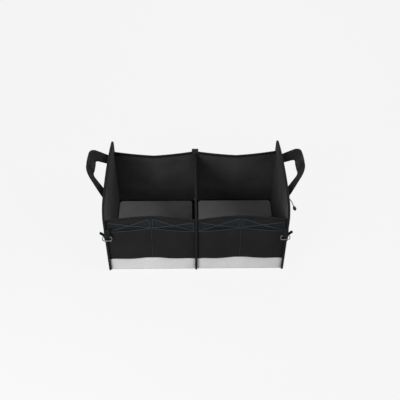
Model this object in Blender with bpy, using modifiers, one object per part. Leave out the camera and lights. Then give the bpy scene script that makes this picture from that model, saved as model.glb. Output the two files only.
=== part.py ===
"""Folding storage box for a car boot: two open bays, four laced front pockets, webbing handles.

Metres, +Z up, +X to the right, the pockets face -Y. The origin is on the floor, in the middle.
"""

import math

import bmesh
import bpy
from mathutils import Matrix, Vector

# Driving sizes of the box
BOX_WIDTH = 0.686
BOX_DEPTH = 0.430
SIDE_HEIGHT = 0.338
SIDE_REAR_SHOULDER = 0.320
SIDE_REAR_CORNER = 0.022
SIDE_FRONT_SHOULDER = 0.322
SIDE_FRONT_RUN = 0.078
SIDE_FRONT_DROP = 0.0675
SIDE_LEAN = math.radians(1.1)
FRONT_HEIGHT = 0.2515
REAR_HEIGHT = 0.266
DIVIDER_DIP = 0.012
DIVIDER_CORNER = 0.010
FOOT_CORNER = 0.009

# Sheet thicknesses
PANEL_THICK = 0.005
WALL_THICK = 0.0045
TAPE_THICK = 0.0012
BASE_THICK = 0.0016
POCKET_THICK = 0.0014
BOARD_THICK = 0.005

# Clearances between sewn pieces
SEAM_GAP = 0.0003
BOW_GAP = 0.0006
RIM_TURN = 0.0007

# Bound seams that stand out past the walls, tape over the walls' top edges
FIN = 0.013
HEM_DEPTH = 0.008

# Inward bow of the walls at the middle of each bay
FRONT_BOW = 0.024
REAR_BOW = 0.030
CREASE_SHARE = 0.25

# Base band, floor boards
BAND_HEIGHT = 0.056
BOARD_CORNER = 0.014
BOARD_SIDE_GAP = 0.004
BOARD_MID_GAP = 0.011
BOARD_END_GAP = 0.009

# Front pockets and their elastic
POCKET_FOOT = 0.0575
POCKET_TOP = 0.196
POCKET_BELLY = 0.013
CORD_RADIUS = 0.00125
LACE_INSET = 0.006
LACE_CORNER = 0.004
LACE_CROSSING = 0.0032

# Handles, drawn on the flat strap: the run out from the fold line, and the place along the side
STRAP_WIDTH = 0.050
STRAP_THICK = 0.0024
STRAP_SEWN = 0.085
STRAP_FOLD_HEIGHT = 0.275
STRAP_FOLD_LENGTH = 0.025
STRAP_RISE = math.radians(47.5)
STRAP_TURN = math.radians(12.0)
STRAP_REACH = 0.100
STRAP_PLACE = 0.014
STRAP_FOOT = 0.122
GRIP_HALF = 0.0625
STRAP_FOOT_CORNER = 0.025
STRAP_GRIP_CORNER = 0.028
SLEEVE_THICK = 0.0012
SLEEVE_HALF = 0.024

# Wire rings in webbing loops at the front corners
RING_INSET = 0.005
RING_WIDTH = 0.035
RING_HEIGHT = 0.018
RING_CORNER = 0.007
RING_WIRE = 0.0017
RING_PIVOT_HEIGHT = 0.190
RING_TILT = math.radians(8.0)
LOOP_WIDTH = 0.021
LOOP_THICK = 0.0016
LOOP_PLAY = 0.0006
LOOP_RISE = 0.036

# Webbing tab on the outer side of each front corner
TAB_WIDTH = 0.020
TAB_SEWN = 0.016
TAB_FREE = 0.030
TAB_HEIGHT = 0.166
TAB_TURN = math.radians(50.0)

# Elastic cord and toggle on the right side
TAIL_RADIUS = 0.0015
EYELET_PLACE = -0.150
EYELET_HEIGHT = 0.302
EYELET_RADIUS = 0.0034
EYELET_WIRE = 0.0013
TOGGLE_LENGTH = 0.021
TOGGLE_WIDTH = 0.013
TAIL_ROUTE = (
    (0.3494, -0.1500, 0.3020),
    (0.3540, -0.1502, 0.3008),
    (0.3592, -0.1507, 0.2945),
    (0.3640, -0.1513, 0.2855),
    (0.3685, -0.1519, 0.2760),
    (0.3722, -0.1524, 0.2675),
)

# Webbing tab over the rear end of the divider
REAR_TAB_WIDTH = 0.028
REAR_TAB_DROP = 0.024
REAR_TAB_RISE = 0.010
REAR_TAB_REACH = 0.016

SIDES = (("left", -1.0), ("right", 1.0))
WALL_HALF = BOX_DEPTH / 2
RING_PLACE = BOX_WIDTH / 2 - RING_INSET
FIN_HALF = WALL_HALF + FIN
PANEL_FOOT = BASE_THICK + SEAM_GAP
TAPE_STAND = SEAM_GAP + TAPE_THICK
BINDING_DEPTH = FIN - BASE_THICK - BOW_GAP - SEAM_GAP * 2
SIDE_END_GAP = SEAM_GAP + RIM_TURN
DIVIDER_END_GAP = TAPE_STAND + SEAM_GAP + RIM_TURN
POCKET_END_GAP = TAPE_STAND + SEAM_GAP
WALL_FACE = WALL_THICK / 2
MERGE = 0.00002


def clear_scene():
    for obj in list(bpy.data.objects):
        bpy.data.objects.remove(obj, do_unlink=True)


def make_collection(name):
    collection = bpy.data.collections.new(name)
    bpy.context.scene.collection.children.link(collection)
    return collection


def make_material(name, colour, roughness, metallic=0.0):
    mat = bpy.data.materials.new(name)
    mat.use_nodes = True
    shader = mat.node_tree.nodes["Principled BSDF"]
    shader.inputs["Base Color"].default_value = (*colour, 1.0)
    shader.inputs["Roughness"].default_value = roughness
    shader.inputs["Metallic"].default_value = metallic
    mat.diffuse_color = (*colour, 1.0)
    return mat


class Kit:
    """The collection that the pieces go in and the materials they share."""

    def __init__(self):
        self.collection = make_collection("car_storage_box")
        self.fabric = make_material("side_fabric", (0.018, 0.018, 0.019), 0.75)
        self.wall = make_material("wall_fabric", (0.015, 0.015, 0.016), 0.78)
        self.tape = make_material("binding_tape", (0.009, 0.009, 0.010), 0.70)
        self.base = make_material("coated_base", (0.60, 0.60, 0.60), 0.55)
        self.board = make_material("floor_felt", (0.050, 0.050, 0.051), 0.85)
        self.pocket = make_material("pocket_fabric", (0.021, 0.021, 0.022), 0.75)
        self.elastic = make_material("elastic_cord", (0.060, 0.085, 0.105), 0.60)
        self.webbing = make_material("webbing", (0.014, 0.014, 0.015), 0.70)
        self.wire = make_material("ring_wire", (0.32, 0.32, 0.33), 0.35, 1.0)
        self.toggle = make_material("toggle_plastic", (0.008, 0.008, 0.009), 0.45)

    def add(self, name, data, mat):
        obj = bpy.data.objects.new(name, data)
        data.materials.append(mat)
        self.collection.objects.link(obj)
        return obj


def shaped_grid(name, columns, rows, point, closed=False):
    """A grid whose corners go where point(u, v) says, with u and v from 0 to 1."""
    bm = bmesh.new()
    bmesh.ops.create_grid(bm, x_segments=columns, y_segments=rows, size=0.5)
    for vert in bm.verts:
        vert.co = point(vert.co.x + 0.5, vert.co.y + 0.5)
    if closed:
        bmesh.ops.remove_doubles(bm, verts=bm.verts, dist=MERGE)
    mesh = bpy.data.meshes.new(name)
    bm.to_mesh(mesh)
    bm.free()
    return mesh


def add_sheet(kit, name, columns, rows, point, thickness, mat, closed=False):
    """A sewn sheet: its middle surface from point(u, v), thickened evenly both ways."""
    obj = kit.add(name, shaped_grid(name, columns, rows, point, closed), mat)
    shell = obj.modifiers.new("thickness", "SOLIDIFY")
    shell.thickness = thickness
    shell.offset = 0.0
    shell.use_even_offset = True
    return obj


def add_channel(kit, name, path, outward, across, half_gap, depth, mat):
    """Tape folded over an edge: a U along path, its web on the outward side."""
    reach = half_gap + SEAM_GAP + TAPE_THICK / 2
    lip = SEAM_GAP + TAPE_THICK / 2
    section = ((-reach, -depth), (-reach, lip), (reach, lip), (reach, -depth))
    last = len(path) - 1

    def point(u, v):
        i = round(u * last)
        side, out = section[round(v * 3)]
        return path[i] + across[i] * side + outward[i] * out

    return add_sheet(kit, name, last, 3, point, TAPE_THICK, mat)


def add_tube(kit, name, points, radius, mat, closed=False):
    curve = bpy.data.curves.new(name, "CURVE")
    curve.dimensions = "3D"
    curve.bevel_depth = radius
    curve.bevel_resolution = 2
    curve.use_fill_caps = not closed
    spline = curve.splines.new("POLY")
    spline.points.add(len(points) - 1)
    for slot, place in zip(spline.points, points):
        slot.co = (*place, 1.0)
    spline.use_cyclic_u = closed
    return kit.add(name, curve, mat)


def add_plate(kit, name, outline, thickness, mat):
    """A flat plate with the given outline in its own XY plane, centred on it."""
    curve = bpy.data.curves.new(name, "CURVE")
    curve.dimensions = "2D"
    curve.fill_mode = "BOTH"
    curve.extrude = thickness / 2
    spline = curve.splines.new("POLY")
    spline.points.add(len(outline) - 1)
    for slot, place in zip(spline.points, outline):
        slot.co = (place[0], place[1], 0.0, 1.0)
    spline.use_cyclic_u = True
    return kit.add(name, curve, mat)


def arc(centre, run, rise, first, last, steps):
    """Points on an ellipse with the given half sizes, angles in degrees."""
    turn = [math.radians(first + (last - first) * k / steps) for k in range(steps + 1)]
    return [(centre[0] + run * math.cos(a), centre[1] + rise * math.sin(a)) for a in turn]


def rounded_path(corners, cuts, steps, closed=False):
    """Straight runs between corners; a cut takes off that length each way and curves across."""
    count = len(corners)
    path = []
    for i, corner in enumerate(corners):
        here = Vector(corner)
        if not (closed or 0 < i < count - 1):
            path.append(here)
            continue
        start = here + (Vector(corners[i - 1]) - here).normalized() * cuts[i]
        end = here + (Vector(corners[(i + 1) % count]) - here).normalized() * cuts[i]
        for k in range(steps + 1):
            t = k / steps
            path.append(start * (1 - t) ** 2 + here * 2 * t * (1 - t) + end * t ** 2)
    return path


def smooth_route(points, steps):
    """A Catmull-Rom curve through the given points."""
    ends = [Vector(p) for p in (points[0], *points, points[-1])]
    route = []
    for i in range(1, len(ends) - 2):
        a, b, c, d = ends[i - 1:i + 3]
        for k in range(steps):
            t = k / steps
            route.append(((2 * b) + (c - a) * t + (2 * a - 5 * b + 4 * c - d) * t ** 2
                          + (3 * b - a - 3 * c + d) * t ** 3) / 2)
    return route + [ends[-2]]


def side_face(z, inside):
    """X of the side panel's inner or outer face at a height."""
    middle = BOX_WIDTH / 2 - PANEL_THICK / 2 + z * math.tan(SIDE_LEAN)
    return middle + (-1 if inside else 1) * PANEL_THICK / 2 / math.cos(SIDE_LEAN)


def bay_x(sign, u, z, outer_gap, inner_gap):
    """X across one bay: u is 0 at the divider and 1 at the side panel."""
    near = PANEL_THICK / 2 + inner_gap
    far = side_face(z, True) - outer_gap
    return sign * (near + (far - near) * u)


def bow(x, z, height, depth):
    """How far a wall bends into the bay, with a soft crease in the middle."""
    near = PANEL_THICK / 2
    far = side_face(z, True)
    off = abs(2 * (abs(x) - near) / (far - near) - 1)
    shape = (1 - CREASE_SHARE) * (1 - off ** 2) + CREASE_SHARE * (1 - off)
    up = min(z / height, 1.0)
    return depth * shape * up * (1.7 - 0.7 * up)


def front_y(x, z, outward):
    """Y at a distance in front of the front wall's middle surface."""
    return bow(x, z, FRONT_HEIGHT, FRONT_BOW) - (WALL_HALF - WALL_FACE) - outward


def rear_y(x, z, outward):
    """Y at a distance behind the rear wall's middle surface."""
    return WALL_HALF - WALL_FACE + outward - bow(x, z, REAR_HEIGHT, REAR_BOW)


def foot_arc(first, last):
    centre = (FIN_HALF - FOOT_CORNER, PANEL_FOOT + FOOT_CORNER)
    return arc(centre, FOOT_CORNER, FOOT_CORNER, first, last, 3)


def mirrored(points):
    """The same points on the front half, in reverse order."""
    return [(-y, z) for y, z in reversed(points)]


def side_outline():
    """The side panel seen along X: straight front and rear edges under an arched top."""
    rear_centre = (FIN_HALF - SIDE_REAR_CORNER, SIDE_REAR_SHOULDER - SIDE_REAR_CORNER)
    front_centre = (FIN_HALF - SIDE_FRONT_RUN, SIDE_FRONT_SHOULDER - SIDE_FRONT_DROP)
    rear = foot_arc(-90, 0) + arc(rear_centre, SIDE_REAR_CORNER, SIDE_REAR_CORNER, 0, 78, 5)
    front = foot_arc(-90, 0) + arc(front_centre, SIDE_FRONT_RUN, SIDE_FRONT_DROP, 0, 80, 7)
    front = mirrored(front)
    rise = SIDE_HEIGHT - (rear[-1][1] + front[0][1]) / 2
    steps = 12
    top = []
    for k in range(1, steps):
        share = k / steps
        y = rear[-1][0] + (front[0][0] - rear[-1][0]) * share
        z = rear[-1][1] + (front[0][1] - rear[-1][1]) * share
        top.append((y, z + rise * (1 - (1 - 2 * share) ** 2)))
    return rear + top + front


def divider_outline():
    """The divider seen along X: its top edge runs from wall top to wall top with a dip."""
    reach = FIN_HALF - DIVIDER_CORNER
    rear = foot_arc(-90, 0) + arc((reach, REAR_HEIGHT - DIVIDER_CORNER),
                                  DIVIDER_CORNER, DIVIDER_CORNER, 0, 90, 3)
    front = foot_arc(-90, 0) + arc((reach, FRONT_HEIGHT - DIVIDER_CORNER),
                                   DIVIDER_CORNER, DIVIDER_CORNER, 0, 90, 3)
    steps = 10
    top = []
    for k in range(1, steps):
        share = k / steps
        level = REAR_HEIGHT + (FRONT_HEIGHT - REAR_HEIGHT) * share
        top.append((reach * (1 - 2 * share), level - DIVIDER_DIP * math.sin(math.pi * share)))
    return rear + top + mirrored(front)


def add_bound_panel(kit, panel_name, binding_name, outline, place_x, lean):
    """An upright panel with binding tape round its front, top and rear edges."""
    turn = Matrix(((0, 0, 1, 0), (1, 0, 0, 0), (0, 1, 0, 0), (0, 0, 0, 1)))
    stand = Matrix.Translation((place_x, 0, 0)) @ Matrix.Rotation(lean, 4, "Y") @ turn
    panel = add_plate(kit, panel_name, outline, PANEL_THICK, kit.fabric)
    panel.matrix_world = stand
    path = [Vector((y, z, 0)) for y, z in outline]
    outward = []
    for i in range(len(path)):
        run = (path[(i + 1) % len(path)] - path[i - 1]).normalized()
        outward.append(Vector((run.y, -run.x, 0)))
    outward[0] = outward[-1] = Vector((0, -1, 0))
    across = [Vector((0, 0, 1))] * len(path)
    binding = add_channel(kit, binding_name, path, outward, across, PANEL_THICK / 2,
                          BINDING_DEPTH, kit.tape)
    binding.matrix_world = stand


def add_walls(kit):
    """Front and rear walls of both bays, each with tape over its top edge."""
    foot = BASE_THICK + SEAM_GAP + RIM_TURN
    steps = 12
    for end, surface, height in (("front", front_y, FRONT_HEIGHT), ("rear", rear_y, REAR_HEIGHT)):
        for side, sign in SIDES:
            def wall_point(u, v):
                z = foot + (height - foot) * v ** 1.4
                x = bay_x(sign, u, z, SIDE_END_GAP, DIVIDER_END_GAP)
                return Vector((x, surface(x, z, 0), z))

            add_sheet(kit, f"{end}_wall_{side}", steps, 7, wall_point, WALL_THICK, kit.wall)
            path = []
            for k in range(steps + 1):
                x = bay_x(sign, k / steps, height, SIDE_END_GAP, DIVIDER_END_GAP)
                x += sign * RIM_TURN * ((k == 0) - (k == steps))
                path.append(Vector((x, surface(x, height, 0), height)))
            up = [Vector((0, 0, 1))] * len(path)
            across = []
            for k in range(len(path)):
                run = path[min(k + 1, steps)] - path[max(k - 1, 0)]
                across.append(run.cross(up[k]).normalized())
            add_channel(kit, f"{end}_hem_{side}", path, up, across,
                        WALL_FACE + BOW_GAP - SEAM_GAP, HEM_DEPTH, kit.tape)


def add_base(kit):
    """One coated sheet under the whole box, and a band of it over the foot of each wall."""
    half_width = BOX_WIDTH / 2
    half_depth = WALL_HALF + BOW_GAP + BASE_THICK
    outline = ((half_width, -half_depth), (half_width, half_depth),
               (-half_width, half_depth), (-half_width, -half_depth))
    sheet = add_plate(kit, "base_sheet", outline, BASE_THICK, kit.base)
    sheet.location = (0, 0, BASE_THICK / 2)
    outward = WALL_FACE + BOW_GAP + BASE_THICK / 2
    foot = BASE_THICK + SEAM_GAP
    for end, surface in (("front", front_y), ("rear", rear_y)):
        for side, sign in SIDES:
            def point(u, v):
                z = foot + (BAND_HEIGHT - foot) * v
                x = bay_x(sign, u, z, SIDE_END_GAP, SIDE_END_GAP)
                return Vector((x, surface(x, z, outward), z))

            add_sheet(kit, f"base_band_{end}_{side}", 12, 3, point, BASE_THICK, kit.base)


def add_floor_boards(kit):
    inner = PANEL_THICK / 2 + BOARD_MID_GAP
    outer = side_face(0.0, True) - BOARD_SIDE_GAP
    centre_x = (outer - inner) / 2 - BOARD_CORNER
    centre_y = WALL_HALF - WALL_THICK - BOARD_END_GAP - BOARD_CORNER
    outline = []
    for k, (sx, sy) in enumerate(((1, 1), (-1, 1), (-1, -1), (1, -1))):
        centre = (sx * centre_x, sy * centre_y)
        outline += arc(centre, BOARD_CORNER, BOARD_CORNER, 90 * k, 90 * k + 90, 5)
    for side, sign in SIDES:
        board = add_plate(kit, f"floor_board_{side}", outline, BOARD_THICK, kit.board)
        board.location = (sign * (inner + outer) / 2, 0, BASE_THICK + SEAM_GAP + BOARD_THICK / 2)


def pocket_y(x, u, z, row_share):
    """Y of the pocket sheet's middle: sewn flat at its seams, full between them."""
    rest = WALL_FACE + BOW_GAP + POCKET_THICK / 2
    belly = POCKET_BELLY * row_share * math.sin(math.pi * ((2 * u) % 1.0))
    return front_y(x, z, rest + belly)


def add_pockets(kit):
    """One sheet across each bay: two pockets, with a seam in the wall's crease between them."""
    levels = (0.0, 0.02, 0.08, 0.24, 0.5, 0.75, 1.0)
    fullness = (0.0, 0.75, 0.95, 1.0, 0.92, 0.75, 0.6)
    columns = 20
    mouth = POCKET_TOP + SEAM_GAP + CORD_RADIUS
    for side, sign in SIDES:
        def point(u, v):
            row = round(v * 6)
            z = POCKET_FOOT + (POCKET_TOP - POCKET_FOOT) * levels[row]
            x = bay_x(sign, u, z, POCKET_END_GAP, POCKET_END_GAP)
            return Vector((x, pocket_y(x, u, z, fullness[row]), z))

        add_sheet(kit, f"pocket_panel_{side}", columns, 6, point, POCKET_THICK, kit.pocket)
        edge = []
        for k in range(columns + 1):
            u = k / columns
            x = bay_x(sign, u, mouth, POCKET_END_GAP, POCKET_END_GAP)
            edge.append(Vector((x, pocket_y(x, u, mouth, fullness[-1]), mouth)))
        add_tube(kit, f"mouth_cord_{side}", edge, CORD_RADIUS, kit.elastic)


def add_lacing(kit):
    """An elastic loop over each pocket mouth: two uprights and a crossing pair."""
    low = POCKET_TOP + 2 * SEAM_GAP + 3 * CORD_RADIUS
    high = FRONT_HEIGHT - HEM_DEPTH - SEAM_GAP - CORD_RADIUS
    stand = WALL_FACE + BOW_GAP + CORD_RADIUS
    for side, sign in SIDES:
        for pocket, place in ((0, "inner"), (1, "outer")):
            def corner(u, inset, z):
                x = bay_x(sign, u, z, POCKET_END_GAP, POCKET_END_GAP) + sign * inset
                return Vector((x, front_y(x, z, stand), z))

            near, far = pocket / 2, (pocket + 1) / 2
            a_low, a_high = (corner(near, LACE_INSET, z) for z in (low, high))
            b_low, b_high = (corner(far, -LACE_INSET, z) for z in (low, high))
            middle = (a_high + b_low) / 2 - Vector((0, LACE_CROSSING, 0))
            corners = (a_low, b_high, b_low, middle, a_high)
            cuts = (LACE_CORNER, LACE_CORNER, LACE_CORNER, LACE_CORNER * 4, LACE_CORNER)
            route = rounded_path(corners, cuts, 4, closed=True)
            add_tube(kit, f"pocket_lace_{place}_{side}", route, CORD_RADIUS, kit.elastic,
                     closed=True)


def strap_point(sign, run, y, lift):
    """A place on the handle: run 0 is where the strap leaves the side, lift is off its back."""
    start = math.pi / 2 - SIDE_LEAN
    rate = (start - STRAP_RISE) / STRAP_FOLD_LENGTH
    bent = min(max(run, 0.0), STRAP_FOLD_LENGTH)
    angle = start - rate * bent
    x = side_face(STRAP_FOLD_HEIGHT, False) + (math.sin(start) - math.sin(angle)) / rate
    z = STRAP_FOLD_HEIGHT + (math.cos(angle) - math.cos(start)) / rate
    straight = run - bent
    x += straight * math.cos(angle) + lift * math.sin(angle)
    z += straight * math.sin(angle) - lift * math.cos(angle)
    return Vector((sign * x, y, z))


def turned_strap(sign, middle, across, off, high):
    """A place beside the strap's middle line, turned about that line on the way to the grip."""
    share = min(max(middle.y / STRAP_REACH, 0.0), 1.0)
    turn = STRAP_TURN * share * share * (3 - 2 * share)
    place = middle + across * (off * math.cos(turn) - high * math.sin(turn))
    lift = SEAM_GAP + STRAP_THICK / 2 + off * math.sin(turn) + high * math.cos(turn)
    return strap_point(sign, place.y, STRAP_PLACE + place.x, lift)


def add_handles(kit):
    """A webbing strap sewn to each side, bent out as a flat U, with a sleeve on the grip."""
    corners = (
        (-STRAP_FOOT, -STRAP_SEWN),
        (-STRAP_FOOT, 0.0),
        (-GRIP_HALF, STRAP_REACH),
        (GRIP_HALF, STRAP_REACH),
        (STRAP_FOOT, 0.0),
        (STRAP_FOOT, -STRAP_SEWN),
    )
    cuts = (0, STRAP_FOOT_CORNER, STRAP_GRIP_CORNER, STRAP_GRIP_CORNER, STRAP_FOOT_CORNER, 0)
    middle = rounded_path(corners, cuts, 6)
    last = len(middle) - 1
    for side, sign in SIDES:
        def strap(u, v):
            i = round(u * last)
            run = (middle[min(i + 1, last)] - middle[max(i - 1, 0)]).normalized()
            across = Vector((run.y, -run.x))
            return turned_strap(sign, middle[i], across, STRAP_WIDTH * (v - 0.5), 0.0)

        add_sheet(kit, f"handle_strap_{side}", last, 2, strap, STRAP_THICK, kit.webbing)
        half_width = STRAP_WIDTH / 2 + SEAM_GAP + SLEEVE_THICK / 2
        half_thick = STRAP_THICK / 2 + SEAM_GAP + SLEEVE_THICK / 2
        ring = ((-1, -1), (1, -1), (1, 1), (-1, 1))

        def sleeve(u, v):
            wide, high = ring[round(v * 4) % 4]
            middle = Vector((SLEEVE_HALF * (2 * u - 1), STRAP_REACH))
            across = Vector((0, -1))
            return turned_strap(sign, middle, across, wide * half_width, high * half_thick)

        add_sheet(kit, f"grip_sleeve_{side}", 4, 4, sleeve, SLEEVE_THICK, kit.webbing, closed=True)


def add_rings(kit):
    """A wire ring in a folded webbing loop in front of each front corner, and a short tab."""
    loop_radius = RING_WIRE + LOOP_PLAY + LOOP_THICK / 2
    front = FIN_HALF + TAPE_STAND + SEAM_GAP
    pivot_y = -(front + loop_radius + LOOP_THICK / 2)
    half_pair = (LOOP_THICK + SEAM_GAP) / 2
    neck = math.sqrt(loop_radius ** 2 - half_pair ** 2)
    opening = math.degrees(math.acos(half_pair / loop_radius))
    closing = 2 * (90 - opening) + opening - 360
    round_bar = arc((pivot_y, RING_PIVOT_HEIGHT), loop_radius, loop_radius, opening, closing, 10)
    sewn_y = -(front + LOOP_THICK / 2 + half_pair)
    upper = ((sewn_y, RING_PIVOT_HEIGHT + LOOP_RISE), (sewn_y, RING_PIVOT_HEIGHT + LOOP_RISE * 0.55),
             (pivot_y, RING_PIVOT_HEIGHT + neck + LOOP_THICK))
    profile = [(y + half_pair, z) for y, z in upper] + round_bar
    profile += [(y - half_pair, z) for y, z in reversed(upper)]
    last = len(profile) - 1
    bar_half = RING_WIDTH / 2
    frame = ((-bar_half, 0), (bar_half, 0), (bar_half, RING_HEIGHT), (-bar_half, RING_HEIGHT))
    hang = Matrix.Rotation(-RING_TILT, 4, "X")
    for side, sign in SIDES:
        def loop(u, v):
            y, z = profile[round(u * last)]
            return Vector((sign * RING_PLACE + LOOP_WIDTH * (v - 0.5), y, z))

        add_sheet(kit, f"ring_loop_{side}", last, 1, loop, LOOP_THICK, kit.webbing)
        corners = [hang @ Vector((x, 0, -drop)) for x, drop in frame]
        route = rounded_path(corners, [RING_CORNER] * 4, 4, closed=True)
        ring = add_tube(kit, f"corner_ring_{side}", route, RING_WIRE, kit.wire, closed=True)
        ring.location = (sign * RING_PLACE, pivot_y, RING_PIVOT_HEIGHT)

        def tab(u, v):
            along = u * (TAB_SEWN + TAB_FREE)
            sewn = min(along, TAB_SEWN)
            free = along - sewn
            slope = math.pi / 2 - SIDE_LEAN - TAB_TURN * free / TAB_FREE / 2
            foot = TAB_HEIGHT - TAB_SEWN + sewn
            x = side_face(foot, False) + TAPE_STAND + SEAM_GAP + LOOP_THICK / 2
            x += free * math.cos(slope)
            z = foot + free * math.sin(slope)
            return Vector((sign * x, -FIN_HALF + TAB_WIDTH * (v - 0.1), z))

        add_sheet(kit, f"corner_tab_{side}", 8, 1, tab, LOOP_THICK, kit.webbing)


def add_side_cord(kit):
    """An eyelet in the right side with an elastic tail and an oval toggle on its end."""
    face = side_face(EYELET_HEIGHT, False)
    bpy.ops.mesh.primitive_torus_add(major_radius=EYELET_RADIUS, minor_radius=EYELET_WIRE,
                                     major_segments=20, minor_segments=8)
    eyelet = bpy.context.object
    eyelet.name = "cord_eyelet"
    eyelet.rotation_euler = (0, math.pi / 2 + SIDE_LEAN, 0)
    eyelet.location = (face + SEAM_GAP + EYELET_WIRE, EYELET_PLACE, EYELET_HEIGHT)
    eyelet.data.materials.append(kit.tape)
    route = smooth_route(TAIL_ROUTE, 3)
    add_tube(kit, "side_cord", route, TAIL_RADIUS, kit.elastic)
    run = (route[-1] - route[-2]).normalized()
    bpy.ops.mesh.primitive_uv_sphere_add(segments=16, ring_count=10, radius=0.5)
    toggle = bpy.context.object
    toggle.name = "cord_toggle"
    for vert in toggle.data.vertices:
        vert.co.x *= TOGGLE_WIDTH
        vert.co.y *= TOGGLE_WIDTH
        vert.co.z *= TOGGLE_LENGTH
    toggle.rotation_euler = run.to_track_quat("Z", "Y").to_euler()
    toggle.location = route[-1] + run * (SEAM_GAP * 2 + TOGGLE_LENGTH / 2)
    toggle.data.materials.append(kit.toggle)
    for obj in (eyelet, toggle):
        for owner in obj.users_collection:
            owner.objects.unlink(obj)
        kit.collection.objects.link(obj)


def add_rear_tab(kit):
    """Webbing that lies on the divider's rear end, arches over the seam and drops behind it."""
    level = REAR_HEIGHT + TAPE_STAND + SEAM_GAP + LOOP_THICK / 2
    back = FIN_HALF + TAPE_STAND + SEAM_GAP + LOOP_THICK / 2
    corners = (
        (back - 2 * REAR_TAB_REACH - 0.004, level),
        (back - 2 * REAR_TAB_REACH, level),
        (back - REAR_TAB_REACH, level + REAR_TAB_RISE),
        (back, level + REAR_TAB_RISE * 0.9),
        (back, level - REAR_TAB_DROP),
    )
    profile = rounded_path(corners, (0, 0.004, 0.008, 0.007, 0), 2)
    last = len(profile) - 1

    def point(u, v):
        y, z = profile[round(u * last)]
        return Vector((REAR_TAB_WIDTH * (v - 0.5), y, z))

    add_sheet(kit, "divider_rear_tab", last, 1, point, LOOP_THICK, kit.webbing)


def main():
    clear_scene()
    kit = Kit()
    for side, sign in SIDES:
        add_bound_panel(kit, f"side_panel_{side}", f"side_binding_{side}", side_outline(),
                        sign * (BOX_WIDTH - PANEL_THICK) / 2, sign * SIDE_LEAN)
    add_bound_panel(kit, "divider_panel", "divider_binding", divider_outline(), 0.0, 0.0)
    add_walls(kit)
    add_base(kit)
    add_floor_boards(kit)
    add_pockets(kit)
    add_lacing(kit)
    add_handles(kit)
    add_rings(kit)
    add_side_cord(kit)
    add_rear_tab(kit)


main()
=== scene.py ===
from math import acos, copysign, cos, degrees, exp, pi, radians, sin, sqrt, tan, tau

import bmesh
import bpy
from mathutils import Matrix, Vector, noise


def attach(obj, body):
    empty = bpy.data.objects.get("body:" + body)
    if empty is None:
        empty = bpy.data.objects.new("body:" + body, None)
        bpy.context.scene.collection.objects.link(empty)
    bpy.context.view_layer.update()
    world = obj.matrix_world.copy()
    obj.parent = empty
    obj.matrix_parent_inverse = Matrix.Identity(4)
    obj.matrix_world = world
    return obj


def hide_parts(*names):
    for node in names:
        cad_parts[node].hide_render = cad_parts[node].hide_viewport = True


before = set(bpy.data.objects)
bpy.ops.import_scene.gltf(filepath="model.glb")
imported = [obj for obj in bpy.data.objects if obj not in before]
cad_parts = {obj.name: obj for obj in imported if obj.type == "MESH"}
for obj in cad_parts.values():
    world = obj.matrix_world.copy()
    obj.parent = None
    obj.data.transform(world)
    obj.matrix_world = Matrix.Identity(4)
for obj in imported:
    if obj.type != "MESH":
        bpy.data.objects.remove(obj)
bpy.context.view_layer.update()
scene = bpy.context.scene
scene.view_settings.view_transform = "Standard"
print("frame loaded,", len(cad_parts), "nodes")

sides = (("Left", "left", -1.0), ("Right", "right", 1.0))

# sizes that the sewn pieces share with the CAD, in metres
box = {
    "width": 0.686,
    "depth": 0.430,
    "lean": radians(1.1),
    "panelThick": 0.005,
    "wallThick": 0.0045,
    "tapeThick": 0.0012,
    "baseThick": 0.0016,
    "loopThick": 0.0016,
    "seamGap": 0.0003,
    "bowGap": 0.0006,
    "rimTurn": 0.0007,
    "fin": 0.013,
    "frontHeight": 0.2515,
    "rearHeight": 0.266,
    "frontBow": 0.024,
    "rearBow": 0.030,
    "frontCrease": 0.25,
    "rearCrease": 0.55,
}
seamGap, bowGap, baseThick = box["seamGap"], box["bowGap"], box["baseThick"]
halfWidth = box["width"] / 2
panelHalf = box["panelThick"] / 2
wallHalf = box["depth"] / 2
wallFace = box["wallThick"] / 2
finHalf = wallHalf + box["fin"]
panelFoot = baseThick + seamGap
tapeStand = seamGap + box["tapeThick"]
weld = 0.00001  # points closer than this are one

# camera

photoCamera = {
    "place": Vector((-0.0233, -2.067, 1.8745)),
    "aim": Vector((0.0, 0.0319, 0.150)),
    "lens": 59.08,
    "sensor": 36.0,
    "shift": 0.0112,
}


def makeCamera():
    data = bpy.data.cameras.new("photoCamera")
    data.lens = photoCamera["lens"]
    data.sensor_width = photoCamera["sensor"]
    data.shift_x = photoCamera["shift"]
    eye = bpy.data.objects.new("photoCamera", data)
    eye.location = photoCamera["place"]
    look = photoCamera["aim"] - photoCamera["place"]
    eye.rotation_euler = look.to_track_quat("-Z", "Y").to_euler()
    scene.collection.objects.link(eye)
    scene.camera = eye


makeCamera()


# shader helpers

def addNode(tree, kind, inputs=None, **settings):
    made = tree.nodes.new("ShaderNode" + kind)
    for key, value in settings.items():
        setattr(made, key, value)
    for key, value in (inputs or {}).items():
        if isinstance(value, bpy.types.NodeSocket):
            tree.links.new(value, made.inputs[key])
        else:
            made.inputs[key].default_value = value
    return made


def mathNode(tree, operation, first, second=0.0, third=0.0):
    inputs = {0: first, 1: second, 2: third}
    return addNode(tree, "Math", inputs, operation=operation).outputs[0]


def noiseNode(tree, place, scale, detail):
    inputs = {"Vector": place, "Scale": scale, "Detail": detail}
    return addNode(tree, "TexNoise", inputs).outputs[0]


def scaleNode(tree, vector, scale):
    return addNode(tree, "VectorMath", {0: vector, "Scale": scale}, operation="SCALE").outputs[0]


def mixNode(tree, share, first, second):
    inputs = {"Factor": share, "A": first, "B": second}
    return addNode(tree, "Mix", inputs, data_type="VECTOR").outputs["Result"]


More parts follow.
